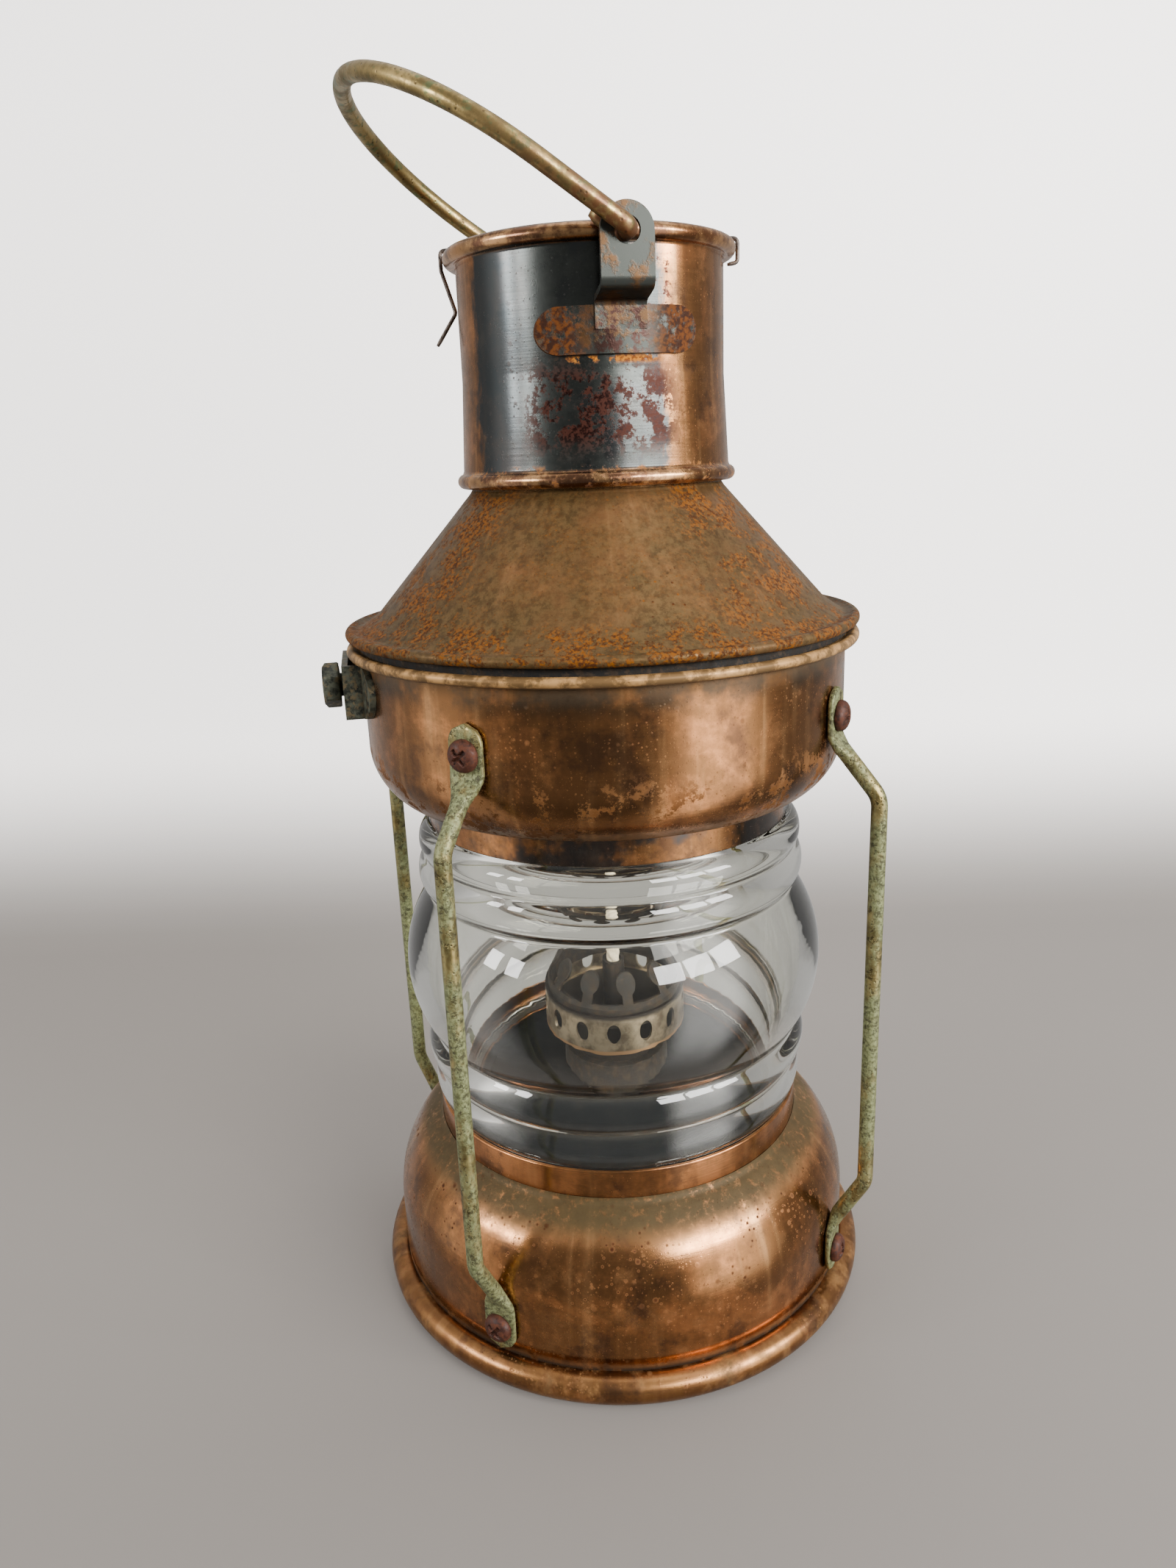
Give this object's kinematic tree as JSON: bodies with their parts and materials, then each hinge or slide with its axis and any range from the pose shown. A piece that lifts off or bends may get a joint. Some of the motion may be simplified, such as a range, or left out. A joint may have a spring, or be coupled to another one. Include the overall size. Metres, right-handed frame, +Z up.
{
  "type": "ship lantern",
  "caption": "Small oil-burning ship's anchor lantern with a ribbed glass between a copper hood and base, wire guard rods and a swinging bail.",
  "frame": {"origin": "on the floor at the centre of the lantern's base", "axes": "+Z up along the lantern's axis; the bail's hinge runs along Y, with the front bail bracket towards -Y; the side socket is on -X"},
  "size_m": [0.1421, 0.14, 0.3096],
  "materials": {
    "hood_copper": "aged, browned copper, bare metal",
    "bowl_copper": "aged copper with dark brown tarnish",
    "base_copper": "aged copper, dusty on the shoulder",
    "collar_copper": "bright polished copper",
    "glass": "clear pressed glass, slightly dusty",
    "gasket": "matt",
    "guard_brass": "brass wire under pale green verdigris",
    "screw_steel": "rusty",
    "bracket_metal": "worn plating over rust",
    "bail_brass": "tarnished brass wire",
    "clip_steel": "dark spring wire",
    "socket_metal": "blackened",
    "font_black": "satin black",
    "burner_metal": "smoke-browned",
    "wick_cotton": "woven cotton",
    "inner_metal": "dull tinned sheet"
  },
  "bodies": {
    "lantern_body": {"base_shell": "base_copper", "foot_ring": "base_copper", "font_ledge": "inner_metal", "lower_collar": "collar_copper", "lower_gasket": "gasket", "glass_globe": "glass", "upper_gasket": "gasket", "neck_collar": "bowl_copper", "upper_bowl": "bowl_copper", "bayonet_pins": "inner_metal", "guard_front_left": "guard_brass", "guard_front_right": "guard_brass", "guard_back_left": "guard_brass", "guard_back_right": "guard_brass", "guard_screws": "screw_steel", "guard_nuts": "screw_steel", "socket_strap": "socket_metal"},
    "hood": {"hood_cone": "hood_copper", "hood_skirt": "hood_copper", "chimney_tube": "hood_copper", "bail_bracket_front": "bracket_metal", "bail_bracket_back": "bracket_metal", "vent_cap": "inner_metal", "cap_clip": "clip_steel"},
    "bail": {"bail": "bail_brass"},
    "socket_bolt": {"socket_bolt": "socket_metal"},
    "font": {"font_tank": "font_black", "font_top": "font_black", "burner_collar": "burner_metal", "burner_body": "burner_metal", "burner_crown": "burner_metal", "wick_tube": "burner_metal"},
    "wick_knob": {"wick_wheel": "burner_metal", "wick_spindle": "burner_metal", "wick_knob": "burner_metal"},
    "wick": {"wick": "wick_cotton"}
  },
  "joints": [
    {"name": "hood_turn", "type": "hinge", "parent": "lantern_body", "child": "hood", "pos_m": [0, 0, 0.1831], "axis": [0, 0, 1], "range_deg": [0, 25]},
    {"name": "bail_swing", "type": "hinge", "parent": "hood", "child": "bail", "pos_m": [0, 0, 0.2718], "axis": [0, 1, 0], "range_deg": [-83, 196]},
    {"name": "socket_bolt_turn", "type": "hinge", "parent": "lantern_body", "child": "socket_bolt", "pos_m": [-0.0662, 0, 0.1748], "axis": [-1, 0, 0], "range_deg": [-300, 900]},
    {"name": "font_turn", "type": "hinge", "parent": "lantern_body", "child": "font", "pos_m": [0, 0, 0.0088], "axis": [0, 0, 1], "range_deg": [0, 40]},
    {"name": "wick_knob_turn", "type": "hinge", "parent": "font", "child": "wick_knob", "pos_m": [0.0054, 0, 0.0678], "axis": [0, 1, 0], "range_deg": [-114.6, 76.4]},
    {"name": "wick_lift", "type": "slide", "parent": "font", "child": "wick", "axis": [0, 0, 1], "range_m": [-0.006, 0.004]}
  ],
  "couplings": [
    {"joint": "wick_knob_turn", "follows": "wick_lift", "rad_per_m": 333.33}
  ]
}
